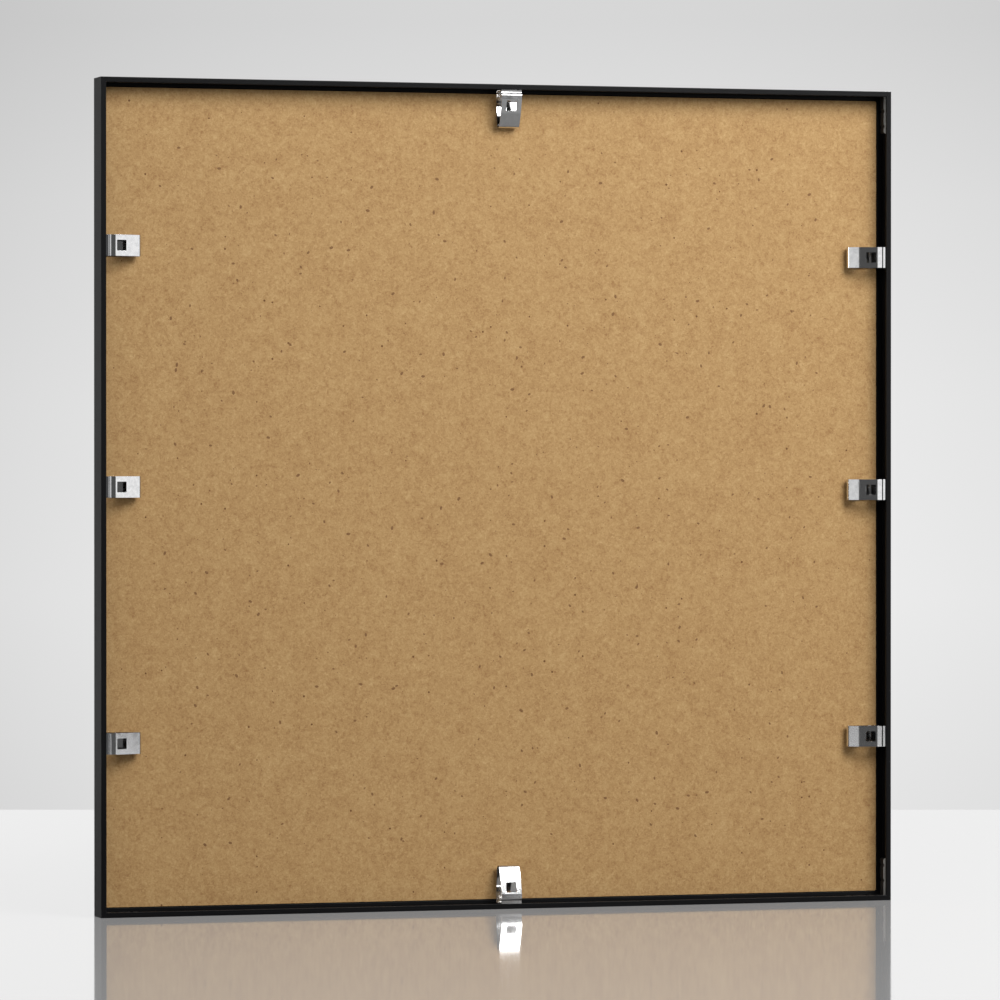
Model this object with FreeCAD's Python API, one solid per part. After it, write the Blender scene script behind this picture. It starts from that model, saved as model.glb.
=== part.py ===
import FreeCAD, Part
import math
import os

# Square picture frame of black aluminium profile, closed at the back by folded spring clips.
#
# All lengths are in millimetres. The frame stands on its bottom rail: +Z is up, the picture faces -Y, the back
# faces +Y, and the origin is the middle of the frame's footprint. Left and right are as seen from the front.
#
# Every piece that repeats round the frame is drawn once, on the bottom rail, and is then turned and moved to
# its own side. In that drawing X runs along the rail, Z is the distance inwards from the rail's outer face, and
# Y is the depth, from the front face at the least Y to the back plane at the greatest.

# Overall sizes
PICTURE_WIDTH = 500.0
PICTURE_HEIGHT = 500.0
STACK_PLAY = 0.5  # between the edge of the stack and the rails, on each side

# Rail section
WALL = 1.2
LEDGE_WIDTH = 3.8  # from the outer wall's inner face to the ledge's edge
LEDGE_THICKNESS = 1.2
LEDGE_DROP = 0.3  # the ledge lies this much deeper than the board's back face
FRONT_FLANGE_WIDTH = 9.0
FRONT_FLANGE_THICKNESS = 1.6
BACK_LIP_WIDTH = 3.3
BACK_LIP_THICKNESS = 1.2
CHANNEL_DEPTH = 12.8  # from the back plane down to the backing board
OUTER_CORNER_RADIUS = 0.5
EDGE_RADIUS = 0.35  # of the edges that face inwards

# Stack of sheets behind the front flange
PANE_THICKNESS = 2.0
SHEET_THICKNESS = 0.4
BOARD_THICKNESS = 3.0
BOARD_CORNER_RADIUS = 1.0

# Corner brackets: a flat strip on edge, bent to a right angle
BRACKET_THICKNESS = 1.5
BRACKET_WIDTH = 6.6
BRACKET_LEG = 25.0  # outside length of a leg
BRACKET_BEND_RADIUS = 0.8  # inside the bend
BRACKET_END_CHAMFER = 0.8
NOTCH_WIDTH = 2.4
NOTCH_DEPTH = 0.5
NOTCH_PLACES = (10.8, 20.5)  # middles of a leg's two pressed notches, from the outside of the bend

# Spring clips: one strip, folded, named from its end under the lip to its end on the board
CLIP_WIDTH = 13.0
CLIP_STRIP = 0.5
CLIP_CORNER_RADIUS = 0.8
TAB_GRIP = 1.1  # how far the tab reaches under the back lip
TAB_RUN = 2.5
JOGGLE_RUN = 0.4
JOGGLE_ANGLE = 45.0
LAND_RUN = 2.3
PLATE_RUN = 8.4  # flat stretch of the plate, with the hole in it
PLATE_BOW_ANGLE = 9.0  # between that stretch and the end by the fold
PLATE_BOW_RADIUS = 28.0
PLATE_END_RUN = 4.0
BEND_RADIUS = 1.2  # of the strip's middle line, as is the next
FOLD_RADIUS = 2.5
LEAF_ANGLE = 6.5  # between the lower leaf and the board
PAD_RUN = 5.0  # flat stretch of the lower leaf that bears on the board
TOE_RUN = 2.2
TOE_ANGLE = 9.0
TOE_SETBACK = 1.0  # how much shorter the lower leaf is than the upper arm
HOLE_SIZE = 6.5
HOLE_CORNER_RADIUS = 0.4
HOLE_FROM_CREST = 0.7  # from the bend at the top of the plate to the hole's edge

# Places of the clips, as shares of the side that carries them; the two rows aren't quite level
SIDE_CLIP_HEIGHT_SHARES = {
    "left": {"lower": 0.203, "middle": 0.508, "upper": 0.795},
    "right": {"lower": 0.207, "middle": 0.5125, "upper": 0.8},
}
END_CLIP_WIDTH_SHARE = 0.49

CUT_OVERRUN = 5.0

# Sizes that follow from the ones above
LEDGE_EDGE = WALL + LEDGE_WIDTH
FRAME_WIDTH = PICTURE_WIDTH + 2 * (STACK_PLAY + LEDGE_EDGE)
FRAME_HEIGHT = PICTURE_HEIGHT + 2 * (STACK_PLAY + LEDGE_EDGE)
BOARD_FRONT = FRONT_FLANGE_THICKNESS + PANE_THICKNESS + SHEET_THICKNESS
BOARD_BACK = BOARD_FRONT + BOARD_THICKNESS
FRAME_DEPTH = BOARD_BACK + CHANNEL_DEPTH
LEDGE_TOP = BOARD_BACK - LEDGE_DROP
LIP_UNDERSIDE = FRAME_DEPTH - BACK_LIP_THICKNESS

ALONG_X = FreeCAD.Vector(1, 0, 0)
ALONG_Y = FreeCAD.Vector(0, 1, 0)

# Turn about Y, in degrees, and place of the middle of the outer edge of each side
SIDES = {
    "bottom": (0, FreeCAD.Vector(0, 0, 0)),
    "left": (90, FreeCAD.Vector(-FRAME_WIDTH / 2, 0, FRAME_HEIGHT / 2)),
    "top": (180, FreeCAD.Vector(0, 0, FRAME_HEIGHT)),
    "right": (-90, FreeCAD.Vector(FRAME_WIDTH / 2, 0, FRAME_HEIGHT / 2)),
}
CORNERS = {
    "bottom_left": (0, FreeCAD.Vector(-FRAME_WIDTH / 2, 0, 0)),
    "top_left": (90, FreeCAD.Vector(-FRAME_WIDTH / 2, 0, FRAME_HEIGHT)),
    "top_right": (180, FreeCAD.Vector(FRAME_WIDTH / 2, 0, FRAME_HEIGHT)),
    "bottom_right": (-90, FreeCAD.Vector(FRAME_WIDTH / 2, 0, 0)),
}


def point(along, height, inwards):
    """Point on the bottom rail: along it, above the frame's front face, and inwards from its outer face."""
    return FreeCAD.Vector(along, height - FRAME_DEPTH / 2, inwards)


def placed(shape, turn_and_place, along=0.0):
    """Copy of a shape drawn on the bottom rail, slid along the rail and moved to a side or corner."""
    turn, place = turn_and_place
    copy = shape.copy()
    copy.translate(ALONG_X * along)
    copy.rotate(FreeCAD.Vector(0, 0, 0), ALONG_Y, turn)
    copy.translate(place)
    return copy


def rounded_outline(corners):
    """Closed wire through (point, radius) corners, each rounded by an arc where its radius isn't zero."""
    arcs = []
    ends = []
    for index, (corner, radius) in enumerate(corners):
        to_last = (corners[index - 1][0] - corner).normalize()
        to_next = (corners[(index + 1) % len(corners)][0] - corner).normalize()
        half = to_last.getAngle(to_next) / 2
        start = corner + to_last * (radius / math.tan(half))
        finish = corner + to_next * (radius / math.tan(half))
        ends.append((start, finish))
        if radius > 0:
            middle = corner + (to_last + to_next).normalize() * (radius / math.sin(half) - radius)
            arcs.append(Part.Arc(start, middle, finish).toShape())
    sides = []
    for index, (_, leave) in enumerate(ends):
        arrive = ends[(index + 1) % len(ends)][0]
        sides.append(Part.LineSegment(leave, arrive).toShape())
    return Part.Wire(Part.__sortEdges__(arcs + sides))


def rail_section():
    """The extrusion's cross-section as a face: an open channel at the back, a closed chamber at the front."""
    outline = rounded_outline([
        (point(0, 0, 0), OUTER_CORNER_RADIUS),
        (point(0, 0, FRONT_FLANGE_WIDTH), EDGE_RADIUS),
        (point(0, FRONT_FLANGE_THICKNESS, FRONT_FLANGE_WIDTH), EDGE_RADIUS),
        (point(0, FRONT_FLANGE_THICKNESS, LEDGE_EDGE), 0),
        (point(0, LEDGE_TOP, LEDGE_EDGE), EDGE_RADIUS),
        (point(0, LEDGE_TOP, WALL), 0),
        (point(0, LIP_UNDERSIDE, WALL), 0),
        (point(0, LIP_UNDERSIDE, BACK_LIP_WIDTH), 0),
        (point(0, FRAME_DEPTH, BACK_LIP_WIDTH), EDGE_RADIUS),
        (point(0, FRAME_DEPTH, 0), OUTER_CORNER_RADIUS),
    ])
    chamber_edge = LEDGE_EDGE - WALL
    chamber_top = LEDGE_TOP - LEDGE_THICKNESS
    chamber = rounded_outline([
        (point(0, FRONT_FLANGE_THICKNESS, WALL), 0),
        (point(0, FRONT_FLANGE_THICKNESS, chamber_edge), 0),
        (point(0, chamber_top, chamber_edge), 0),
        (point(0, chamber_top, WALL), 0),
    ])
    return Part.Face(outline).cut(Part.Face(chamber)).Faces[0]


def mitred_rail(length):
    """One rail on the bottom side, cut to 45 degrees at both ends."""
    bar = rail_section().extrude(ALONG_X * length)
    bar.translate(ALONG_X * (-length / 2))
    half = length / 2
    reach = FRONT_FLANGE_WIDTH + CUT_OVERRUN
    kept = rounded_outline([
        (point(-half, -CUT_OVERRUN, 0), 0),
        (point(half, -CUT_OVERRUN, 0), 0),
        (point(half - reach, -CUT_OVERRUN, reach), 0),
        (point(reach - half, -CUT_OVERRUN, reach), 0),
    ])
    between_mitres = Part.Face(kept).extrude(ALONG_Y * (FRAME_DEPTH + 2 * CUT_OVERRUN))
    return bar.common(between_mitres).Solids[0]


def stack_sheet(front, thickness, corner_radius=0.0):
    """One sheet of the stack: the height of its front face above the frame's, and its thickness."""
    half = PICTURE_WIDTH / 2
    low = LEDGE_EDGE + STACK_PLAY
    high = low + PICTURE_HEIGHT
    outline = rounded_outline([
        (point(-half, front, low), corner_radius),
        (point(half, front, low), corner_radius),
        (point(half, front, high), corner_radius),
        (point(-half, front, high), corner_radius),
    ])
    return Part.Face(outline).extrude(ALONG_Y * thickness)


def pressed_notch(along, inwards):
    """Round cutter across a bracket leg, with its middle line at this place."""
    radius = (NOTCH_WIDTH ** 2 / 4 + NOTCH_DEPTH ** 2) / (2 * NOTCH_DEPTH)
    lift = radius - NOTCH_DEPTH
    if along > inwards:
        start = point(along, LEDGE_TOP - CUT_OVERRUN, inwards + lift)
    else:
        start = point(along + lift, LEDGE_TOP - CUT_OVERRUN, inwards)
    return Part.makeCylinder(radius, BRACKET_WIDTH + 2 * CUT_OVERRUN, start, ALONG_Y)


def corner_bracket():
    """Bent strip in the corner at X = 0: one leg along the bottom rail, one up the side, on the ledge."""
    outside = WALL
    inside = WALL + BRACKET_THICKNESS
    end = WALL + BRACKET_LEG
    shoulder = inside - BRACKET_END_CHAMFER
    outline = rounded_outline([
        (point(outside, LEDGE_TOP, outside), BRACKET_BEND_RADIUS + BRACKET_THICKNESS),
        (point(end, LEDGE_TOP, outside), 0),
        (point(end, LEDGE_TOP, shoulder), 0),
        (point(end - BRACKET_END_CHAMFER, LEDGE_TOP, inside), 0),
        (point(inside, LEDGE_TOP, inside), BRACKET_BEND_RADIUS),
        (point(inside, LEDGE_TOP, end - BRACKET_END_CHAMFER), 0),
        (point(shoulder, LEDGE_TOP, end), 0),
        (point(outside, LEDGE_TOP, end), 0),
    ])
    bracket = Part.Face(outline).extrude(ALONG_Y * BRACKET_WIDTH)
    for place in NOTCH_PLACES:
        bracket = bracket.cut(pressed_notch(outside + place, inside))
        bracket = bracket.cut(pressed_notch(inside, outside + place))
    return bracket.Solids[0]


class BentStrip:
    """Side view of a flat strip bent from straight runs, drawn by following its middle line.

    The line starts at the given height and distance inwards. Its heading is 0 inwards and grows towards the
    back of the frame.
    """

    def __init__(self, thickness, height, inwards, heading):
        self.thickness = thickness
        self.height = height
        self.inwards = inwards
        self.heading = heading
        self.faces = {1: [], -1: []}

    def beside(self, face, height, inwards, heading):
        """Point on one face of the strip, beside a point of its middle line."""
        reach = face * self.thickness / 2
        return point(0, height + reach * math.cos(heading), inwards - reach * math.sin(heading))

    def run(self, length):
        """Go straight on for a length."""
        height = self.height + length * math.sin(self.heading)
        inwards = self.inwards + length * math.cos(self.heading)
        for face, edges in self.faces.items():
            start = self.beside(face, self.height, self.inwards, self.heading)
            finish = self.beside(face, height, inwards, self.heading)
            edges.append(Part.LineSegment(start, finish).toShape())
        self.height = height
        self.inwards = inwards

    def bend(self, angle, radius):
        """Turn by an angle, in radians, round a radius of the middle line."""
        reach = math.copysign(radius, angle)
        centre_height = self.height + reach * math.cos(self.heading)
        centre_inwards = self.inwards - reach * math.sin(self.heading)
        stations = []
        for share in (0, 1 / 2, 1):
            heading = self.heading + angle * share
            height = centre_height - reach * math.cos(heading)
            inwards = centre_inwards + reach * math.sin(heading)
            stations.append((height, inwards, heading))
        for face, edges in self.faces.items():
            edges.append(Part.Arc(*[self.beside(face, *station) for station in stations]).toShape())
        self.height, self.inwards, self.heading = stations[-1]

    def solid(self, width):
        """The strip as a solid of this width, its middle at X = 0."""
        ends = []
        for index in (0, -1):
            first = self.faces[1][index].Vertexes[index].Point
            second = self.faces[-1][index].Vertexes[index].Point
            ends.append(Part.LineSegment(first, second).toShape())
        outline = Part.Wire(Part.__sortEdges__(self.faces[1] + self.faces[-1] + ends))
        solid = Part.Face(outline).extrude(ALONG_X * width)
        solid.translate(ALONG_X * (-width / 2))
        return solid


def lower_leaf_run():
    """Length of the sloping part of a clip's lower leaf, which ends a little short of the upper arm's end."""
    plate = PLATE_RUN + PLATE_BOW_RADIUS * math.radians(PLATE_BOW_ANGLE) + PLATE_END_RUN
    upper_arm = TAB_RUN + JOGGLE_RUN + LAND_RUN + plate
    return upper_arm - TOE_SETBACK - TOE_RUN - PAD_RUN


def plate_slope():
    """Slope, in radians, of the plate's flat stretch when a clip just fills the gap between board and lip.

    The drop from the land to the fold is rise * sin(slope) + spread * cos(slope), plus what doesn't depend on
    the slope, so the slope follows from the drop that is left over.
    """
    joggle = math.radians(JOGGLE_ANGLE)
    leaf = math.radians(LEAF_ANGLE)
    bow = math.radians(PLATE_BOW_ANGLE)
    joggle_rise = JOGGLE_RUN * math.sin(joggle) + 2 * BEND_RADIUS * (1 - math.cos(joggle))
    leaf_drop = lower_leaf_run() * math.sin(leaf) + BEND_RADIUS * (1 - math.cos(leaf))
    bends_drop = BEND_RADIUS + FOLD_RADIUS * math.cos(leaf)
    drop = LIP_UNDERSIDE - BOARD_BACK - CLIP_STRIP + joggle_rise - leaf_drop - bends_drop
    bow_surplus = PLATE_BOW_RADIUS - FOLD_RADIUS
    rise = PLATE_RUN + PLATE_END_RUN * math.cos(bow) + bow_surplus * math.sin(bow)
    spread = PLATE_BOW_RADIUS - BEND_RADIUS + PLATE_END_RUN * math.sin(bow) - bow_surplus * math.cos(bow)
    return math.asin(drop / math.hypot(rise, spread)) - math.atan2(spread, rise)


def clip_strip():
    """A clip's bent strip, and where its plate starts: height, distance inwards and heading."""
    joggle = math.radians(JOGGLE_ANGLE)
    leaf = math.radians(LEAF_ANGLE)
    bow = math.radians(PLATE_BOW_ANGLE)
    slope = plate_slope()
    strip = BentStrip(CLIP_STRIP, LIP_UNDERSIDE - CLIP_STRIP / 2, BACK_LIP_WIDTH - TAB_GRIP, 0.0)
    strip.run(TAB_RUN)
    strip.bend(joggle, BEND_RADIUS)
    strip.run(JOGGLE_RUN)
    strip.bend(-joggle, BEND_RADIUS)
    strip.run(LAND_RUN)
    strip.bend(-slope, BEND_RADIUS)
    crest = (strip.height, strip.inwards, strip.heading)
    strip.run(PLATE_RUN)
    strip.bend(-bow, PLATE_BOW_RADIUS)
    strip.run(PLATE_END_RUN)
    strip.bend(slope + bow + leaf - math.pi, FOLD_RADIUS)
    strip.run(lower_leaf_run())
    strip.bend(-leaf, BEND_RADIUS)
    strip.run(PAD_RUN)
    strip.bend(-math.radians(TOE_ANGLE), BEND_RADIUS)
    strip.run(TOE_RUN)
    return strip, crest


def plate_hole(crest):
    """Cutter for the square hole in the plate, square to the plate and near its crest."""
    height, inwards, heading = crest
    down_plate = FreeCAD.Vector(0, math.sin(heading), math.cos(heading))
    through = down_plate.cross(ALONG_X)
    middle = point(0, height, inwards) + down_plate * (HOLE_FROM_CREST + HOLE_SIZE / 2)
    start = middle - through * CLIP_STRIP
    half = HOLE_SIZE / 2
    outline = rounded_outline([
        (start + down_plate * along + ALONG_X * across, HOLE_CORNER_RADIUS)
        for along, across in ((-half, -half), (half, -half), (half, half), (-half, half))
    ])
    return Part.Face(outline).extrude(through * (2 * CLIP_STRIP))


def spring_clip():
    """One folded spring clip in the middle of the bottom rail, its tab under the lip, its pad on the board."""
    strip, crest = clip_strip()
    blank = strip.solid(CLIP_WIDTH)
    straight_edges = [edge for edge in blank.Edges if edge.Curve.TypeId == "Part::GeomLine"]
    end_corners = [edge for edge in straight_edges if math.isclose(edge.Length, CLIP_STRIP, rel_tol=1e-6)]
    rounded = blank.makeFillet(CLIP_CORNER_RADIUS, end_corners)
    return rounded.cut(plate_hole(crest)).Solids[0]


def clip_places():
    """Side and distance from the middle of that side, along its own X, for every clip by name."""
    end_offset = FRAME_WIDTH * (END_CLIP_WIDTH_SHARE - 0.5)
    places = {"clip_bottom": ("bottom", end_offset), "clip_top": ("top", -end_offset)}
    for side, run_of_x in (("left", -1), ("right", 1)):
        for level, share in SIDE_CLIP_HEIGHT_SHARES[side].items():
            rise = FRAME_HEIGHT * (share - 0.5)
            places["clip_" + side + "_" + level] = (side, run_of_x * rise)
    return places


def build():
    """All pieces by node name."""
    end_rail = mitred_rail(FRAME_WIDTH)
    side_rail = mitred_rail(FRAME_HEIGHT)
    bracket = corner_bracket()
    clip = spring_clip()
    pieces = {
        "glazing_pane": stack_sheet(FRONT_FLANGE_THICKNESS, PANE_THICKNESS),
        "insert_sheet": stack_sheet(FRONT_FLANGE_THICKNESS + PANE_THICKNESS, SHEET_THICKNESS),
        "backing_board": stack_sheet(BOARD_FRONT, BOARD_THICKNESS, BOARD_CORNER_RADIUS),
    }
    for side, turn_and_place in SIDES.items():
        rail = end_rail if side in ("bottom", "top") else side_rail
        pieces["rail_" + side] = placed(rail, turn_and_place)
    for corner, turn_and_place in CORNERS.items():
        pieces["corner_bracket_" + corner] = placed(bracket, turn_and_place)
    for name, (side, offset) in clip_places().items():
        pieces[name] = placed(clip, SIDES[side], offset)
    return pieces


os.makedirs("parts", exist_ok=True)
for node, piece in build().items():
    piece.exportStep("parts/" + node + ".step")
    print(node, "volume", round(piece.Volume, 1), "valid", piece.isValid())
print("frame", round(FRAME_WIDTH, 2), round(FRAME_HEIGHT, 2), round(FRAME_DEPTH, 2))
print("plate slope", round(math.degrees(plate_slope()), 2))
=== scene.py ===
"""Looks of a square picture frame of black aluminium profile, closed at the back by folded spring clips."""

import logging
import math
from dataclasses import dataclass
from enum import Enum
from typing import Any, Sequence

import bmesh
import bpy
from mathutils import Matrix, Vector


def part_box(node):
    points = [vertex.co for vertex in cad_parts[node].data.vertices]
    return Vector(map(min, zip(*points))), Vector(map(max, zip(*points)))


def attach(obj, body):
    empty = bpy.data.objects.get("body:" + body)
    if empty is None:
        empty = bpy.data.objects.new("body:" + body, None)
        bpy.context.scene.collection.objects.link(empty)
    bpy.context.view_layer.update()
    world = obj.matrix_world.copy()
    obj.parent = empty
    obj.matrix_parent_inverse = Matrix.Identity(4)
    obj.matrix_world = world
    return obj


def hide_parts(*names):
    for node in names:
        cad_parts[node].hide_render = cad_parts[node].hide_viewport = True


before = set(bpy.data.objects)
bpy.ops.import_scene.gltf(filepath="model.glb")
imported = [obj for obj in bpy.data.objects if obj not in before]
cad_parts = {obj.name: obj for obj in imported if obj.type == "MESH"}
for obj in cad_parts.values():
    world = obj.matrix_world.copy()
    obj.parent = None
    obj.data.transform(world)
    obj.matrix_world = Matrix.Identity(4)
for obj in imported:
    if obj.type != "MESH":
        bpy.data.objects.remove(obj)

logging.basicConfig(level=logging.INFO, format="%(levelname)s %(message)s")
log = logging.getLogger("picture_frame")

Tree = bpy.types.NodeTree
Socket = bpy.types.NodeSocket
Material = bpy.types.Material
Piece = bpy.types.Object
Point = tuple[float, float, float]
Tones = tuple[tuple[float, str], ...]

MM = 0.001


class Slot(Enum):
    """The record's material slots."""

    RAIL = "black_anodised_aluminium"
    BRACKET = "bracket_steel"
    PANE = "pane_glass"
    SHEET = "sheet_paper"
    BOARD = "hardboard"
    CLIP = "spring_steel"


class Grain(Enum):
    """The axis that a drawn or rolled metal's lines run along."""

    X = 0
    Z = 2

    def stretch(self, pitch_mm: float, length_mm: float) -> Point:
        """Factors for the three axes that draw a pattern of this pitch out to this length along the grain."""
        return tuple(pitch_mm / length_mm if axis == self.value else 1.0 for axis in range(3))


class Lit(Enum):
    """What a lamp shines on. The value is how the set's pieces are linked to it."""

    ALL = ""
    FRAME = "EXCLUDE"
    SET = "INCLUDE"


def linear(hex_colour: str) -> tuple[float, float, float, float]:
    """Turn an sRGB colour into the linear values that a shader takes.

    Args:
        hex_colour: Six hexadecimal digits.

    Returns:
        Linear red, green and blue, and an alpha of one.
    """
    values = []
    for start in (0, 2, 4):
        share = int(hex_colour[start:start + 2], 16) / 255
        values.append(share / 12.92 if share <= 0.04045 else ((share + 0.055) / 1.055) ** 2.4)
    return (values[0], values[1], values[2], 1.0)


def per_metre(size_mm: float) -> float:
    """Texture scale that gives features of about this size in millimetres."""
    return 1.0 / (size_mm * MM)


@dataclass(frozen=True)
class Pattern:
    """Random pattern: the size of its features, its finer layers, their weight, and how far it is swirled."""

    size_mm: float
    detail: float = 2.0
    roughness: float = 0.5
    swirl: float = 0.0

    def at(self, point: Socket) -> dict[Any, Any]:
        """Input values of a noise texture that draws this pattern over the points."""
        return {"Vector": point, "Scale": per_metre(self.size_mm), "Detail": self.detail,
                "Roughness": self.roughness, "Distortion": self.swirl}


@dataclass(frozen=True)
class Relief:
    """Unevenness that is too small to model: how strongly it turns the light, and its depth."""

    strength: float
    depth_mm: float

    def of(self, height: Socket) -> dict[Any, Any]:
        """Input values of a bump that follows the height."""
        return {"Height": height, "Strength": self.strength, "Distance": self.depth_mm * MM}


@dataclass(frozen=True)
class Span:
    """Range of a value, and the range that it is turned into."""

    low: float = 0.0
    high: float = 1.0
    to_low: float = 0.0
    to_high: float = 1.0

    def of(self, value: Socket) -> dict[Any, Any]:
        """Input values of a range mapping that reads the value."""
        return {"Value": value, "From Min": self.low, "From Max": self.high, "To Min": self.to_low,
                "To Max": self.to_high}


def add_node(tree: Tree, kind: str, settings: dict[str, Any] | None = None,
             sockets: dict[Any, Any] | None = None, stops: Tones = ()) -> bpy.types.Node:
    """Add a node with its settings, input values and incoming links.

    Args:
        tree: Node tree that takes the node.
        kind: Type name of the node.
        settings: Attributes of the node by name.
        sockets: Input values or output sockets to link, by input name or index.
        stops: A colour ramp's places from 0 to 1 with their sRGB colours, in order.

    Returns:
        The new node.
    """
    node = tree.nodes.new(kind)
    for name, value in (settings or {}).items():
        setattr(node, name, value)
    for key, value in (sockets or {}).items():
        if isinstance(value, Socket):
            tree.links.new(value, node.inputs[key])
        else:
            node.inputs[key].default_value = value
    for index, (place, colour) in enumerate(stops):
        elements = node.color_ramp.elements
        element = elements[index] if index < len(elements) else elements.new(place)
        element.position = place
        element.color = linear(colour)
    return node


def new_material(name: str) -> tuple[Material, Tree, bpy.types.Node]:
    """Start a node material.

    Args:
        name: The material's name.

    Returns:
        The material, its empty tree and its output node.
    """
    material = bpy.data.materials.new(name)
    material.use_nodes = True
    tree = material.node_tree
    tree.nodes.clear()
    return material, tree, add_node(tree, "ShaderNodeOutputMaterial")


def object_point(tree: Tree, stretch: Point = (1.0, 1.0, 1.0)) -> Socket:
    """Add the surface point's place on the object.

    Args:
        tree: Node tree that takes the nodes.
        stretch: Factor for each axis.

    Returns:
        Socket with the place in metres, times the factors.
    """
    place = add_node(tree, "ShaderNodeTexCoord")
    mapping = add_node(tree, "ShaderNodeMapping",
                       sockets={"Vector": place.outputs["Object"], "Scale": stretch})
    return mapping.outputs["Vector"]


def seen_by_eye(tree: Tree) -> Socket:
    """Add a switch for what the eye sees, directly or through the pane.

    Args:
        tree: Node tree that takes the nodes.

    Returns:
        Socket that is one on the eye's rays and zero on the others.
    """
    path = add_node(tree, "ShaderNodeLightPath")
    seen = add_node(tree, "ShaderNodeMath", {"operation": "MAXIMUM"},
                    {0: path.outputs["Is Camera Ray"], 1: path.outputs["Is Transmission Ray"]})
    return seen.outputs["Value"]


# To the eye: satin black. The die lines catch the light as thin streaks along the rail, and the etched coat
# scatters the highlight. The dyed oxide is what shows, so the shader isn't a bare metal's.
@dataclass(frozen=True)
class AnodisedAluminium:
    """Extruded aluminium, etched and anodised black, with faint die lines along the profile."""

    grain: Grain
    tones: Tones = ((0.42, "0d0d0e"), (0.72, "151517"))
    lines: Pattern = Pattern(0.35, detail=3.0, roughness=0.6)
    line_length_mm: float = 60.0
    grit: Pattern = Pattern(0.25)
    sheen: Span = Span(0.3, 0.7, to_low=0.30, to_high=0.42)
    line_relief: Relief = Relief(0.10, depth_mm=0.02)
    grit_relief: Relief = Relief(0.16, depth_mm=0.02)
    ior: float = 1.22

    def material(self) -> Material:
        """Build the node material.

        Returns:
            The finish for the rails that lie along the grain.
        """
        material, tree, output = new_material("black_anodised_aluminium_" + self.grain.name.lower())
        drawn = object_point(tree, self.grain.stretch(self.lines.size_mm, self.line_length_mm))
        lines = add_node(tree, "ShaderNodeTexNoise", sockets=self.lines.at(drawn))
        grit = add_node(tree, "ShaderNodeTexNoise", sockets=self.grit.at(object_point(tree)))
        tone = add_node(tree, "ShaderNodeValToRGB", sockets={"Fac": lines.outputs["Fac"]}, stops=self.tones)
        rough = add_node(tree, "ShaderNodeMapRange", sockets=self.sheen.of(grit.outputs["Fac"]))
        coarse = add_node(tree, "ShaderNodeBump", sockets=self.line_relief.of(lines.outputs["Fac"]))
        fine = add_node(tree, "ShaderNodeBump", sockets={**self.grit_relief.of(grit.outputs["Fac"]),
                                                         "Normal": coarse.outputs["Normal"]})
        shader = add_node(tree, "ShaderNodeBsdfPrincipled",
                          sockets={"Base Color": tone.outputs["Color"], "Roughness": rough.outputs["Result"],
                                   "IOR": self.ior, "Normal": fine.outputs["Normal"]})
        tree.links.new(shader.outputs["BSDF"], output.inputs["Surface"])
        return material


# To the eye: almost a mirror. The rolling marks draw its reflections out a little along the strip, and small
# scuffs dull them in places.
@dataclass(frozen=True)
class PlatedSteel:
    """Cold-rolled spring steel strip with a bright plating."""

    grain: Grain
    tones: Tones = ((0.42, "e6e6e6"), (0.74, "d6d6d7"))
    lines: Pattern = Pattern(0.12, roughness=0.55)
    line_length_mm: float = 9.0
    scuffs: Pattern = Pattern(3.5, detail=5.0, roughness=0.65, swirl=0.4)
    gloss: Span = Span(0.38, 0.7, to_low=0.07, to_high=0.13)
    line_relief: Relief = Relief(0.05, depth_mm=0.01)

    def material(self) -> Material:
        """Build the node material.

        Returns:
            The finish for the clips whose strips lie along the grain.
        """
        material, tree, output = new_material("bright_spring_steel_" + self.grain.name.lower())
        rolled = object_point(tree, self.grain.stretch(self.lines.size_mm, self.line_length_mm))
        lines = add_node(tree, "ShaderNodeTexNoise", sockets=self.lines.at(rolled))
        scuffs = add_node(tree, "ShaderNodeTexNoise", sockets=self.scuffs.at(object_point(tree)))
        tone = add_node(tree, "ShaderNodeValToRGB", sockets={"Fac": scuffs.outputs["Fac"]}, stops=self.tones)
        rough = add_node(tree, "ShaderNodeMapRange", sockets=self.gloss.of(scuffs.outputs["Fac"]))
        bump = add_node(tree, "ShaderNodeBump", sockets=self.line_relief.of(lines.outputs["Fac"]))
        shader = add_node(tree, "ShaderNodeBsdfPrincipled",
                          sockets={"Base Color": tone.outputs["Color"], "Roughness": rough.outputs["Result"],
                                   "Metallic": 1.0, "Normal": bump.outputs["Normal"]})
        tree.links.new(shader.outputs["BSDF"], output.inputs["Surface"])
        return material


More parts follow.
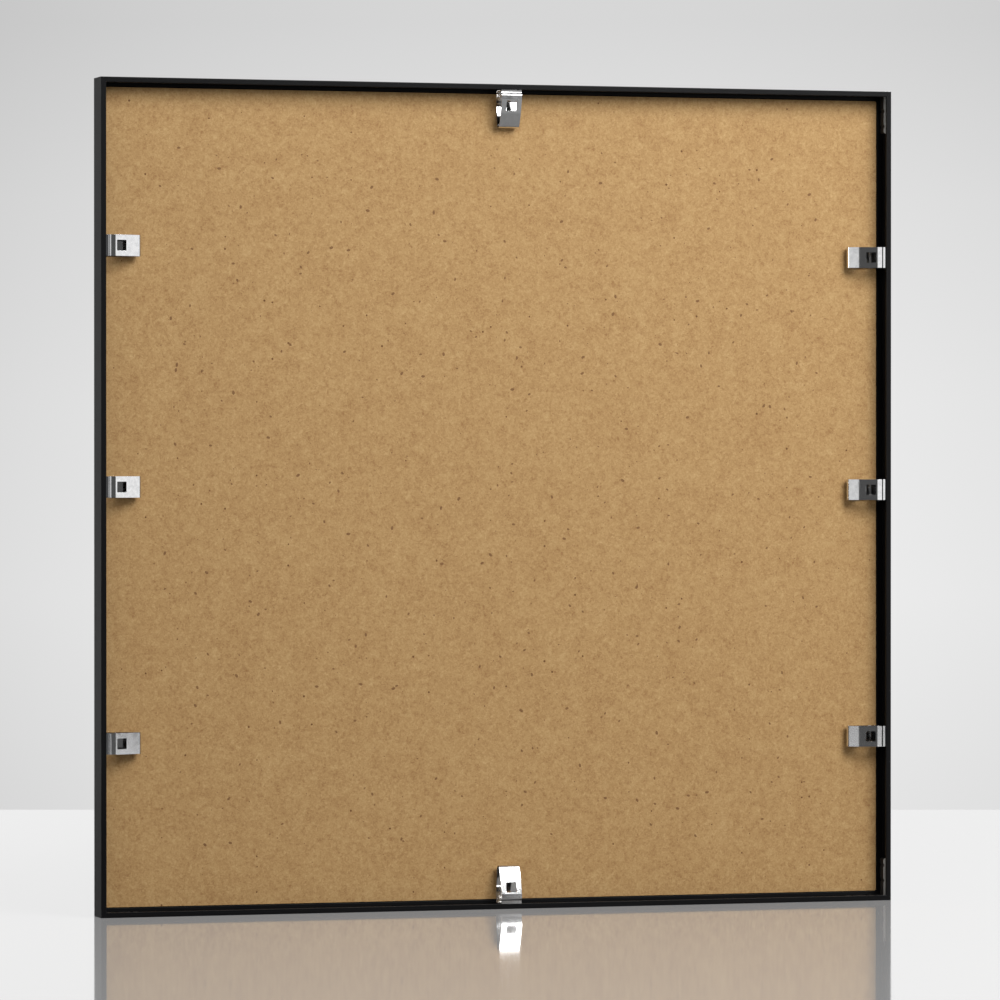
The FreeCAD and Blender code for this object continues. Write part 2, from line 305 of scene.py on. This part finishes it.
# To the eye: dark and dull inside the rails, where only the sheared edges catch the light, as short pale
# strips beside the notches.
@dataclass(frozen=True)
class ShearedSteel:
    """Steel strip, zinc-plated and passivated black, then sheared to width, which leaves its edges bare."""

    face_colour: str = "1c1b1a"
    edge_colour: str = "f1eee7"
    edge_facing: Span = Span(0.55, 0.8)
    marks: Pattern = Pattern(0.5, detail=3.0)
    dullness: Span = Span(to_low=0.48, to_high=0.72)
    mark_relief: Relief = Relief(0.2, depth_mm=0.03)

    def material(self) -> Material:
        """Build the node material. The sheared edges are the faces that look along Y.

        Returns:
            The finish for the corner brackets.
        """
        material, tree, output = new_material("sheared_bracket_steel")
        place = add_node(tree, "ShaderNodeTexCoord")
        normal = add_node(tree, "ShaderNodeSeparateXYZ", sockets={"Vector": place.outputs["Normal"]})
        facing = add_node(tree, "ShaderNodeMath", {"operation": "ABSOLUTE"}, {0: normal.outputs["Y"]})
        bare = add_node(tree, "ShaderNodeMapRange", sockets=self.edge_facing.of(facing.outputs["Value"]))
        marks = add_node(tree, "ShaderNodeTexNoise", sockets=self.marks.at(object_point(tree)))
        tone = add_node(tree, "ShaderNodeMix", {"data_type": "RGBA"},
                        {"Factor": bare.outputs["Result"], 6: linear(self.face_colour),
                         7: linear(self.edge_colour)})
        rough = add_node(tree, "ShaderNodeMapRange", sockets=self.dullness.of(marks.outputs["Fac"]))
        bump = add_node(tree, "ShaderNodeBump", sockets=self.mark_relief.of(marks.outputs["Fac"]))
        shader = add_node(tree, "ShaderNodeBsdfPrincipled",
                          sockets={"Base Color": tone.outputs[2], "Roughness": rough.outputs["Result"],
                                   "Normal": bump.outputs["Normal"]})
        tree.links.new(shader.outputs["BSDF"], output.inputs["Surface"])
        return material


# To the eye: a fine cloudy nap of fibres, soft lighter and darker patches from the felting, and small dark
# flecks of bark and burnt fibre.
@dataclass(frozen=True)
class Hardboard:
    """Wet-pressed brown hardboard, rough side out: felted wood fibres with scattered specks."""

    tones: Tones = ((0.12, "966c42"), (0.5, "b69261"), (0.9, "ccab79"))
    fibres: Pattern = Pattern(1.5, detail=3.0, roughness=0.6, swirl=1.1)
    tufts: Pattern = Pattern(5.0, detail=4.0, roughness=0.62, swirl=0.8)
    tuft_weight: float = 0.65
    patches: Pattern = Pattern(26.0, detail=3.0, roughness=0.55)
    patch_weight: float = 0.16
    contrast: Span = Span(0.41, 1.43)
    fleck_colour: str = "724c2c"
    fleck_spacing_mm: float = 5.0
    fleck_share: float = 0.14
    fleck_rarity: float = 6.0
    nap_relief: Relief = Relief(0.55, depth_mm=0.12)
    roughness: float = 0.7
    ior: float = 1.3

    def flecked(self, tree: Tree, point: Socket, tone: Socket) -> Socket:
        """Add the flecks: one in each cell of a Voronoi pattern, most of them too small to see.

        Args:
            tree: Node tree that takes the nodes.
            point: Socket with the place on the board.
            tone: Socket with the board's colour without flecks.

        Returns:
            Socket with the colour of board and flecks.
        """
        cells = add_node(tree, "ShaderNodeTexVoronoi",
                         sockets={"Vector": point, "Scale": per_metre(self.fleck_spacing_mm)})
        draw = add_node(tree, "ShaderNodeSeparateColor", sockets={0: cells.outputs["Color"]})
        rare = add_node(tree, "ShaderNodeMath", {"operation": "POWER"},
                        {0: draw.outputs[0], 1: self.fleck_rarity})
        reach = add_node(tree, "ShaderNodeMath", {"operation": "MULTIPLY"},
                         {0: rare.outputs["Value"], 1: self.fleck_share})
        inside = add_node(tree, "ShaderNodeMath", {"operation": "LESS_THAN"},
                          {0: cells.outputs["Distance"], 1: reach.outputs["Value"]})
        both = add_node(tree, "ShaderNodeMix", {"data_type": "RGBA"},
                        {"Factor": inside.outputs["Value"], 6: tone, 7: linear(self.fleck_colour)})
        return both.outputs[2]

    def material(self) -> Material:
        """Build the node material.

        Returns:
            The finish for the backing board.
        """
        material, tree, output = new_material("hardboard_rough_side")
        point = object_point(tree)
        fibres = add_node(tree, "ShaderNodeTexNoise", sockets=self.fibres.at(point))
        tufts = add_node(tree, "ShaderNodeTexNoise", sockets=self.tufts.at(point))
        patches = add_node(tree, "ShaderNodeTexNoise", sockets=self.patches.at(point))
        felt = add_node(tree, "ShaderNodeMath", {"operation": "MULTIPLY_ADD"},
                        {0: tufts.outputs["Fac"], 1: self.tuft_weight, 2: fibres.outputs["Fac"]})
        clouded = add_node(tree, "ShaderNodeMath", {"operation": "MULTIPLY_ADD"},
                           {0: patches.outputs["Fac"], 1: self.patch_weight, 2: felt.outputs["Value"]})
        spread = add_node(tree, "ShaderNodeMapRange", sockets=self.contrast.of(clouded.outputs["Value"]))
        tone = add_node(tree, "ShaderNodeValToRGB", sockets={"Fac": spread.outputs["Result"]},
                        stops=self.tones)
        nap = add_node(tree, "ShaderNodeBump", sockets=self.nap_relief.of(felt.outputs["Value"]))
        shader = add_node(tree, "ShaderNodeBsdfPrincipled",
                          sockets={"Base Color": self.flecked(tree, point, tone.outputs["Color"]),
                                   "Roughness": self.roughness, "IOR": self.ior,
                                   "Normal": nap.outputs["Normal"]})
        tree.links.new(shader.outputs["BSDF"], output.inputs["Surface"])
        return material


# To the eye: dull dark brown, and paler where the fibre broke.
@dataclass(frozen=True)
class BarkFleck:
    """Bark that was pressed into the board, as small slivers."""

    tones: Tones = ((0.35, "73502f"), (0.7, "956b40"))
    fibres: Pattern = Pattern(0.4, detail=3.0)
    roughness: float = 0.75
    ior: float = 1.45

    def material(self) -> Material:
        """Build the node material.

        Returns:
            The finish for the slivers.
        """
        material, tree, output = new_material("bark_sliver")
        fibres = add_node(tree, "ShaderNodeTexNoise", sockets=self.fibres.at(object_point(tree)))
        tone = add_node(tree, "ShaderNodeValToRGB", sockets={"Fac": fibres.outputs["Fac"]}, stops=self.tones)
        shader = add_node(tree, "ShaderNodeBsdfPrincipled",
                          sockets={"Base Color": tone.outputs["Color"], "Roughness": self.roughness,
                                   "IOR": self.ior})
        tree.links.new(shader.outputs["BSDF"], output.inputs["Surface"])
        return material


# To the eye: colourless across its thickness, with a faint green along an edge. Lamp light passes straight
# through to the sheet behind it, as it does through a thin pane.
@dataclass(frozen=True)
class FloatGlass:
    """Clear float glass, fire-polished and very slightly wavy."""

    colour: str = "fdfefe"
    waves: Pattern = Pattern(90.0)
    wave_relief: Relief = Relief(0.02, depth_mm=0.2)
    roughness: float = 0.01
    ior: float = 1.52

    def material(self) -> Material:
        """Build the node material.

        Returns:
            The finish for the pane.
        """
        material, tree, output = new_material("float_glass")
        waves = add_node(tree, "ShaderNodeTexNoise", sockets=self.waves.at(object_point(tree)))
        bump = add_node(tree, "ShaderNodeBump", sockets=self.wave_relief.of(waves.outputs["Fac"]))
        shader = add_node(tree, "ShaderNodeBsdfPrincipled",
                          sockets={"Base Color": linear(self.colour), "Roughness": self.roughness,
                                   "IOR": self.ior, "Transmission Weight": 1.0,
                                   "Normal": bump.outputs["Normal"]})
        path = add_node(tree, "ShaderNodeLightPath")
        clear = add_node(tree, "ShaderNodeBsdfTransparent", sockets={"Color": linear(self.colour)})
        pane = add_node(tree, "ShaderNodeMixShader",
                        sockets={"Fac": path.outputs["Is Shadow Ray"], 1: shader.outputs["BSDF"],
                                 2: clear.outputs["BSDF"]})
        tree.links.new(pane.outputs["Shader"], output.inputs["Surface"])
        return material


# To the eye: matt white, with a barely visible cloud of fibres.
@dataclass(frozen=True)
class PlainPaper:
    """Uncoated white paper."""

    tones: Tones = ((0.35, "e9e8e3"), (0.7, "e4e3de"))
    clouds: Pattern = Pattern(6.0, detail=6.0)
    fibres: Pattern = Pattern(0.6, detail=3.0)
    fibre_relief: Relief = Relief(0.2, depth_mm=0.03)
    roughness: float = 0.85

    def material(self) -> Material:
        """Build the node material.

        Returns:
            The finish for the insert sheet.
        """
        material, tree, output = new_material("uncoated_paper")
        clouds = add_node(tree, "ShaderNodeTexNoise", sockets=self.clouds.at(object_point(tree)))
        fibres = add_node(tree, "ShaderNodeTexNoise", sockets=self.fibres.at(object_point(tree)))
        tone = add_node(tree, "ShaderNodeValToRGB", sockets={"Fac": clouds.outputs["Fac"]}, stops=self.tones)
        bump = add_node(tree, "ShaderNodeBump", sockets=self.fibre_relief.of(fibres.outputs["Fac"]))
        shader = add_node(tree, "ShaderNodeBsdfPrincipled",
                          sockets={"Base Color": tone.outputs["Color"], "Roughness": self.roughness,
                                   "Normal": bump.outputs["Normal"]})
        tree.links.new(shader.outputs["BSDF"], output.inputs["Surface"])
        return material


# To the eye: pale and glossy. It mirrors what stands on it at a low angle, and takes soft shadows. Its body
# colour is dark enough to leave the frame's light alone, and a glow that only the eye sees makes it white.
@dataclass(frozen=True)
class WhiteAcrylic:
    """Polished white acrylic of the table."""

    colour: str = "7c7c7c"
    glow_colour: str = "ffffff"
    seen_glow: float = 0.44
    ior: float = 1.5
    clouds: Pattern = Pattern(400.0)
    polish: Span = Span(to_low=0.0495, to_high=0.0605)

    def material(self) -> Material:
        """Build the node material. The glow comes from below the surface, so it fades where that mirrors.

        Returns:
            The finish for the table top.
        """
        material, tree, output = new_material("white_acrylic")
        clouds = add_node(tree, "ShaderNodeTexNoise", sockets=self.clouds.at(object_point(tree)))
        rough = add_node(tree, "ShaderNodeMapRange", sockets=self.polish.of(clouds.outputs["Fac"]))
        mirror = add_node(tree, "ShaderNodeFresnel", sockets={"IOR": self.ior})
        below = add_node(tree, "ShaderNodeMapRange",
                         sockets=Span(to_low=self.seen_glow, to_high=0.0).of(mirror.outputs["Fac"]))
        glow = add_node(tree, "ShaderNodeMath", {"operation": "MULTIPLY"},
                        {0: seen_by_eye(tree), 1: below.outputs["Result"]})
        shader = add_node(tree, "ShaderNodeBsdfPrincipled",
                          sockets={"Base Color": linear(self.colour), "Roughness": rough.outputs["Result"],
                                   "IOR": self.ior, "Emission Color": linear(self.glow_colour),
                                   "Emission Strength": glow.outputs["Value"]})
        tree.links.new(shader.outputs["BSDF"], output.inputs["Surface"])
        return material


# To the eye: matt and pale. Its glow is painted light: palest low down and in the middle, and paler to one
# side, as a pool of light falls on it. Surfaces that mirror it show it as plain white.
@dataclass(frozen=True)
class PaperRoll:
    """White background paper, hung behind the table, with painted light on it. Heights and reaches are in
    metres.
    """

    colour: str = "c9c9c9"
    mirrored_colour: str = "ffffff"
    roughness: float = 0.9
    specular: float = 0.1
    painted_light_heights: Span = Span(-0.245, 1.0)
    tones: Tones = ((0.01, "dbdbdb"), (0.26, "e2e2e2"), (0.49, "dfdfdf"), (0.73, "d7d7d7"), (0.94, "cbcbcb"))
    side_reach: float = 0.761
    painted_side_falloff: float = 0.045
    painted_middle_glow: float = 0.13

    def strength(self, tree: Tree, across: Socket) -> Socket:
        """Add the painted light across the paper: how bright it looks from side to side.

        Args:
            tree: Node tree that takes the nodes.
            across: Socket with the distance from the middle.

        Returns:
            Socket with the strength, about one.
        """
        side = Span(-self.side_reach, self.side_reach, 1 + self.painted_side_falloff, 1 - self.painted_side_falloff)
        middle = Span(high=self.side_reach ** 2, to_low=self.painted_middle_glow, to_high=0.0)
        painted_side_slope = add_node(tree, "ShaderNodeMapRange", sockets=side.of(across))
        squared = add_node(tree, "ShaderNodeMath", {"operation": "MULTIPLY"}, {0: across, 1: across})
        painted_middle_rise = add_node(tree, "ShaderNodeMapRange", sockets=middle.of(squared.outputs["Value"]))
        both = add_node(tree, "ShaderNodeMath", {"operation": "ADD"},
                        {0: painted_side_slope.outputs["Result"], 1: painted_middle_rise.outputs["Result"]})
        return both.outputs["Value"]

    def material(self) -> Material:
        """Build the node material.

        Returns:
            The finish for the paper roll.
        """
        material, tree, output = new_material("paper_roll")
        place = add_node(tree, "ShaderNodeSeparateXYZ", sockets={"Vector": object_point(tree)})
        # Painted light: the tones by height and the strength across the paper paint a pool of light on it.
        height = add_node(tree, "ShaderNodeMapRange", sockets=self.painted_light_heights.of(place.outputs["Z"]))
        tone = add_node(tree, "ShaderNodeValToRGB", sockets={"Fac": height.outputs["Result"]},
                        stops=self.tones)
        path = add_node(tree, "ShaderNodeLightPath")
        shader = add_node(tree, "ShaderNodeBsdfPrincipled",
                          sockets={"Base Color": linear(self.colour), "Roughness": self.roughness,
                                   "Specular IOR Level": self.specular})
        seen = add_node(tree, "ShaderNodeEmission",
                        sockets={"Color": tone.outputs["Color"],
                                 "Strength": self.strength(tree, place.outputs["X"])})
        mirrored = add_node(tree, "ShaderNodeEmission", sockets={"Color": linear(self.mirrored_colour)})
        to_eye = add_node(tree, "ShaderNodeMixShader",
                          sockets={"Fac": path.outputs["Is Camera Ray"], 1: shader.outputs["BSDF"],
                                   2: seen.outputs["Emission"]})
        to_all = add_node(tree, "ShaderNodeMixShader",
                          sockets={"Fac": path.outputs["Is Glossy Ray"], 1: to_eye.outputs["Shader"],
                                   2: mirrored.outputs["Emission"]})
        tree.links.new(to_all.outputs["Shader"], output.inputs["Surface"])
        return material


def new_object(name: str, mesh: bpy.types.Mesh) -> Piece:
    """Put a mesh in the scene as an object at the origin."""
    obj = bpy.data.objects.new(name, mesh)
    bpy.context.scene.collection.objects.link(obj)
    return obj


def evaluated_mesh(obj: Piece) -> bpy.types.Mesh:
    """Apply an object's modifiers.

    Args:
        obj: The object, whose own mesh stays as it is.

    Returns:
        The result as a new plain mesh.
    """
    bpy.context.view_layer.update()
    depsgraph = bpy.context.evaluated_depsgraph_get()
    return bpy.data.meshes.new_from_object(obj.evaluated_get(depsgraph), preserve_all_data_layers=True,
                                           depsgraph=depsgraph)


def set_material(obj: Piece, material: Material) -> None:
    """Give an object's mesh this material alone."""
    obj.data.materials.clear()
    obj.data.materials.append(material)


@dataclass(frozen=True)
class EdgedCopy:
    """Copy of a rigid node's shape with its edges broken, as tumbling, etching or trimming leaves them."""

    edge_mm: float
    segments: int = 2
    sharp_degrees: float = 28.0
    smooth_margin_degrees: float = 12.0
    flat_degrees: float = 0.05
    weld_mm: float = 0.002

    def plain_shape(self, node: str) -> bpy.types.Mesh:
        """Copy a node's mesh, join its loose triangles and merge those that lie in one plane.

        Args:
            node: The node whose shape is copied.

        Returns:
            The copy as one closed mesh.
        """
        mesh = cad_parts[node].data.copy()
        mesh.name = node + "_shape"
        shape = bmesh.new()
        shape.from_mesh(mesh)
        bmesh.ops.remove_doubles(shape, verts=shape.verts, dist=self.weld_mm * MM)
        bmesh.ops.dissolve_limit(shape, angle_limit=math.radians(self.flat_degrees),
                                 use_dissolve_boundaries=False, verts=shape.verts, edges=shape.edges)
        shape.to_mesh(mesh)
        shape.free()
        return mesh

    def make(self, node: str, body: str, slot: Slot, material: Material) -> None:
        """Build the copy and let it stand for the node.

        Args:
            node: The node whose shape is copied.
            body: The body that the piece rides on.
            slot: The record's slot for the piece; not used.
            material: The piece's material.
        """
        piece = new_object(node + "_look", self.plain_shape(node))
        bevel = piece.modifiers.new("broken_edges", "BEVEL")
        bevel.width = self.edge_mm * MM
        bevel.segments = self.segments
        bevel.limit_method = "ANGLE"
        bevel.angle_limit = math.radians(self.sharp_degrees)
        bevel.miter_outer = "MITER_ARC"
        finished = evaluated_mesh(piece)
        piece.modifiers.clear()
        piece.data = finished
        finished.set_sharp_from_angle(angle=math.radians(self.sharp_degrees + self.smooth_margin_degrees))
        finished.polygons.foreach_set("use_smooth", [True] * len(finished.polygons))
        weight = piece.modifiers.new("face_weighting", "WEIGHTED_NORMAL")
        weight.keep_sharp = True
        piece.data = evaluated_mesh(piece)
        piece.modifiers.clear()
        set_material(piece, material)
        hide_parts(node)
        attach(piece, body)
        log.info("%s: %d faces", piece.name, len(piece.data.polygons))


@dataclass(frozen=True)
class Rails:
    """The four mitred rails, each with die lines along its own length."""

    edge: EdgedCopy = EdgedCopy(edge_mm=0.10)
    grains: tuple[tuple[str, Grain], ...] = (("rail_bottom", Grain.X), ("rail_top", Grain.X),
                                             ("rail_left", Grain.Z), ("rail_right", Grain.Z))

    def build(self) -> None:
        """Make and dress every rail."""
        finishes = {grain: AnodisedAluminium(grain).material() for grain in (Grain.X, Grain.Z)}
        for node, grain in self.grains:
            self.edge.make(node, "frame", Slot.RAIL, finishes[grain])


@dataclass(frozen=True)
class Brackets:
    """The four bent corner brackets."""

    edge: EdgedCopy = EdgedCopy(edge_mm=0.12)
    corners: tuple[str, ...] = ("bottom_left", "bottom_right", "top_left", "top_right")

    def build(self) -> None:
        """Make and dress every bracket."""
        finish = ShearedSteel().material()
        for corner in self.corners:
            self.edge.make("corner_bracket_" + corner, "frame", Slot.BRACKET, finish)


@dataclass(frozen=True)
class Clips:
    """The eight folded spring clips. Each strip was rolled along its length, which points inwards."""

    edge: EdgedCopy = EdgedCopy(edge_mm=0.07, sharp_degrees=40.0)
    ends: tuple[str, ...] = ("top", "bottom")
    sides: tuple[str, ...] = ("left", "right")
    side_levels: tuple[str, ...] = ("lower", "middle", "upper")

    def build(self) -> None:
        """Make and dress every clip. A clip's body has its name."""
        upright = PlatedSteel(Grain.Z).material()
        level = PlatedSteel(Grain.X).material()
        for end in self.ends:
            self.edge.make("clip_" + end, "clip_" + end, Slot.CLIP, upright)
        for side in self.sides:
            for height in self.side_levels:
                clip = f"clip_{side}_{height}"
                self.edge.make(clip, clip, Slot.CLIP, level)


@dataclass(frozen=True)
class BarkSlivers:
    """Slivers of bark and charred fibre that lie in the board's rough face. Most are small."""

    count: int = 950
    length_mm: float = 2.5
    width_mm: float = 1.6
    proud_mm: float = 0.04
    least_size: float = 0.28
    most_size: float = 1.25
    rarity_of_large: float = 3.0
    clear_edge_mm: float = 34.0
    place_seed: int = 7
    turn_seed: int = 3
    size_seed: int = 11

    def tree(self) -> Tree:
        """Build the node group that scatters slivers over a face.

        Returns:
            A geometry node group with named inputs for count, sizes and seed.
        """
        group = bpy.data.node_groups.new("scatter_slivers", "GeometryNodeTree")
        for name, kind in (("Geometry", "Geometry"), ("Count per square metre", "Float"), ("Length", "Float"),
                           ("Width", "Float"), ("Height", "Float"), ("Seed", "Int"), ("Material", "Material")):
            group.interface.new_socket(name=name, in_out="INPUT", socket_type="NodeSocket" + kind)
        group.interface.new_socket(name="Geometry", in_out="OUTPUT", socket_type="NodeSocketGeometry")
        source = add_node(group, "NodeGroupInput")
        points = add_node(group, "GeometryNodeDistributePointsOnFaces", {"distribute_method": "RANDOM"},
                          {"Mesh": source.outputs["Geometry"],
                           "Density": source.outputs["Count per square metre"],
                           "Seed": source.outputs["Seed"]})
        size = add_node(group, "ShaderNodeCombineXYZ",
                        sockets={"X": source.outputs["Length"], "Y": source.outputs["Width"],
                                 "Z": source.outputs["Height"]})
        ball = add_node(group, "GeometryNodeMeshIcoSphere", sockets={"Radius": 0.5, "Subdivisions": 1})
        sliver = add_node(group, "GeometryNodeTransform",
                          sockets={"Geometry": ball.outputs["Mesh"], "Scale": size.outputs["Vector"]})
        turn = add_node(group, "FunctionNodeRandomValue", {"data_type": "FLOAT"},
                        {2: 0.0, 3: math.tau, "Seed": self.turn_seed})
        spin = add_node(group, "ShaderNodeCombineXYZ", sockets={"Z": turn.outputs[1]})
        rotation = add_node(group, "FunctionNodeRotateRotation", {"rotation_space": "LOCAL"},
                            {"Rotation": points.outputs["Rotation"], "Rotate By": spin.outputs["Vector"]})
        draw = add_node(group, "FunctionNodeRandomValue", {"data_type": "FLOAT"},
                        {2: 0.0, 3: 1.0, "Seed": self.size_seed})
        rare = add_node(group, "ShaderNodeMath", {"operation": "POWER"},
                        {0: draw.outputs[1], 1: self.rarity_of_large})
        sizes = Span(to_low=self.least_size, to_high=self.most_size)
        scale = add_node(group, "ShaderNodeMapRange", sockets=sizes.of(rare.outputs["Value"]))
        placed = add_node(group, "GeometryNodeInstanceOnPoints",
                          sockets={"Points": points.outputs["Points"], "Instance": sliver.outputs["Geometry"],
                                   "Rotation": rotation.outputs["Rotation"],
                                   "Scale": scale.outputs["Result"]})
        real = add_node(group, "GeometryNodeRealizeInstances",
                        sockets={"Geometry": placed.outputs["Instances"]})
        dressed = add_node(group, "GeometryNodeSetMaterial",
                           sockets={"Geometry": real.outputs["Geometry"],
                                    "Material": source.outputs["Material"]})
        add_node(group, "NodeGroupOutput", sockets={"Geometry": dressed.outputs["Geometry"]})
        return group

    def build(self) -> None:
        """Scatter the slivers over the board's back, clear of the clips' travel."""
        low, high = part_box("backing_board")
        inset = self.clear_edge_mm * MM
        corners = ((high.x - inset, low.z + inset), (low.x + inset, low.z + inset),
                   (low.x + inset, high.z - inset), (high.x - inset, high.z - inset))
        mesh = bpy.data.meshes.new("board_area")
        mesh.from_pydata([(x, high.y, z) for x, z in corners], [], [(0, 1, 2, 3)])
        piece = new_object("bark_slivers", mesh)
        area = (high.x - low.x - 2 * inset) * (high.z - low.z - 2 * inset)
        modifier = piece.modifiers.new("slivers", "NODES")
        modifier.node_group = self.tree()
        values = {"Count per square metre": self.count / area, "Length": self.length_mm * MM,
                  "Width": self.width_mm * MM, "Height": 2 * self.proud_mm * MM, "Seed": self.place_seed,
                  "Material": BarkFleck().material()}
        for item in modifier.node_group.interface.items_tree:
            if item.in_out == "INPUT" and item.name in values:
                modifier[item.identifier] = values[item.name]
        piece.data = evaluated_mesh(piece)
        piece.modifiers.clear()
        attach(piece, "frame")
        log.info("bark_slivers: %d faces", len(piece.data.polygons))


@dataclass(frozen=True)
class Stack:
    """The pane, the blank sheet and the backing board."""

    slivers: BarkSlivers = BarkSlivers()

    def build(self) -> None:
        """Dress the three sheets, and scatter the board's slivers."""
        for node, finish in (("backing_board", Hardboard()), ("insert_sheet", PlainPaper()),
                             ("glazing_pane", FloatGlass())):
            set_material(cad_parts[node], finish.material())
            log.info("%s: dressed", node)
        self.slivers.build()


@dataclass(frozen=True)
class SoftBox:
    """Large soft lamp: the point it stands at, its width and height, its power and the point it faces."""

    name: str
    place: Point
    size: tuple[float, float]
    watts: float
    aim: Point = (0.0, 0.0, 0.25)
    lit: Lit = Lit.ALL
    mirrored: bool = True

    def build(self, surroundings: Sequence[Piece]) -> None:
        """Make the lamp.

        Args:
            surroundings: Pieces of the set, which a lamp for the frame leaves out and one for the set lights.
        """
        lamp = bpy.data.lights.new(self.name, "AREA")
        lamp.shape = "RECTANGLE"
        lamp.size, lamp.size_y = self.size
        lamp.energy = self.watts
        obj = bpy.data.objects.new(self.name, lamp)
        bpy.context.scene.collection.objects.link(obj)
        obj.location = self.place
        obj.rotation_euler = (Vector(self.aim) - Vector(self.place)).to_track_quat("-Z", "Y").to_euler()
        obj.visible_glossy = self.mirrored
        if self.lit is Lit.ALL:
            return
        obj.visible_camera = False
        linked = bpy.data.collections.new(self.name + "_receivers")
        for piece in surroundings:
            linked.objects.link(piece)
        for entry in linked.collection_objects:
            entry.light_linking.link_state = self.lit.value
        obj.light_linking.receiver_collection = linked


@dataclass(frozen=True)
class Studio:
    """Pale table, paper roll, soft boxes and camera, in metres. The frame's back faces the camera.

    The table and the roll stand square to the camera, so they are turned from the frame by this many degrees.
    The roll hangs beyond every camera that looks at the front. The key is two lamps at one place, so that the
    clips mirror it and the table doesn't. Two fills light the front and one side, and only the frame.
    """

    turn_degrees: float = -16.78
    table_back: float = -1.03
    table_front: float = 2.6
    table_half_width: float = 6.0
    roll_half_width: float = 2.75
    roll_place: float = -5.0
    roll_height: float = 5.8
    room_colour: str = "c8c8c8"
    room_light: float = 0.15
    lens_mm: float = 211.2
    sensor_mm: float = 36.0
    nearest_seen: float = 0.05
    camera_place: Point = (1.0516, 3.4883, 0.2770)
    camera_yaw_degrees: float = 163.22
    camera_pitch_degrees: float = -0.37
    lamps: tuple[SoftBox, ...] = (
        SoftBox("key_high_right", (-0.6, 1.2, 1.25), (0.9, 0.9), 25.0, lit=Lit.FRAME),
        SoftBox("key_on_table", (-0.6, 1.2, 1.25), (0.9, 0.9), 25.0, lit=Lit.SET, mirrored=False),
        SoftBox("panel_right", (-1.63, 1.85, 0.62), (2.67, 1.2), 9.3, aim=(0.385, 0.665, 0.62)),
        SoftBox("panel_left", (1.75, 1.9, 0.62), (2.46, 1.2), 6.4, aim=(-0.1, 1.0, 0.62)),
        SoftBox("panel_overhead", (-0.4, 1.75, 2.1), (2.6, 2.0), 11.5, aim=(-0.1, 0.0, 0.35)),
        SoftBox("front_fill", (-1.7, -2.1, 1.3), (1.2, 1.2), 70.0, aim=(0.0, 0.0, 0.26), lit=Lit.FRAME),
        SoftBox("side_fill", (2.4, -0.3, 0.8), (1.6, 1.0), 28.0, aim=(0.25, 0.0, 0.26), lit=Lit.FRAME),
    )

    def quad(self, name: str, corners: Sequence[Point], material: Material) -> Piece:
        """Add one flat piece of the set, which isn't part of the frame.

        Args:
            name: The piece's name.
            corners: Its corners in order, before it is turned.
            material: Its material.

        Returns:
            The piece.
        """
        mesh = bpy.data.meshes.new(name)
        mesh.from_pydata(corners, [], [tuple(range(len(corners)))])
        obj = new_object(name, mesh)
        obj.rotation_euler = (0.0, 0.0, math.radians(self.turn_degrees))
        set_material(obj, material)
        return obj

    def build(self) -> None:
        """Make the set, the lamps, the world and the camera."""
        half, back, front = self.table_half_width, self.table_back, self.table_front
        roll, place, height = self.roll_half_width, self.roll_place, self.roll_height
        table = self.quad("table_top", ((-half, back, 0.0), (half, back, 0.0), (half, front, 0.0),
                                        (-half, front, 0.0)), WhiteAcrylic().material())
        paper = self.quad("paper_roll", ((-roll, place, -height), (-roll, place, height),
                                         (roll, place, height), (roll, place, -height)),
                          PaperRoll().material())
        for lamp in self.lamps:
            lamp.build((table, paper))
        self.light_world()
        self.place_camera()

    def light_world(self) -> None:
        """Give the world a plain grey light, and show it to the eye as a pale room."""
        world = bpy.data.worlds.new("studio")
        bpy.context.scene.world = world
        world.use_nodes = True
        tree = world.node_tree
        tree.nodes.clear()
        strength = add_node(tree, "ShaderNodeMapRange",
                            sockets=Span(to_low=self.room_light).of(seen_by_eye(tree)))
        back = add_node(tree, "ShaderNodeBackground",
                        sockets={"Color": linear(self.room_colour), "Strength": strength.outputs["Result"]})
        add_node(tree, "ShaderNodeOutputWorld", sockets={"Surface": back.outputs["Background"]})

    def place_camera(self) -> None:
        """Set the camera where the photograph was taken from."""
        data = bpy.data.cameras.new("camera")
        data.lens = self.lens_mm
        data.sensor_width = self.sensor_mm
        data.clip_start = self.nearest_seen
        camera = bpy.data.objects.new("camera", data)
        bpy.context.scene.collection.objects.link(camera)
        camera.location = self.camera_place
        camera.rotation_euler = (math.radians(90 + self.camera_pitch_degrees), 0.0,
                                 math.radians(self.camera_yaw_degrees))
        bpy.context.scene.camera = camera
        bpy.context.scene.view_settings.view_transform = "Standard"


def main() -> None:
    """Build every sub-assembly in order."""
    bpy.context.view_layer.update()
    for assembly in (Studio(), Rails(), Brackets(), Stack(), Clips()):
        log.info("building %s", type(assembly).__name__)
        assembly.build()


if __name__ == "__main__":
    main()
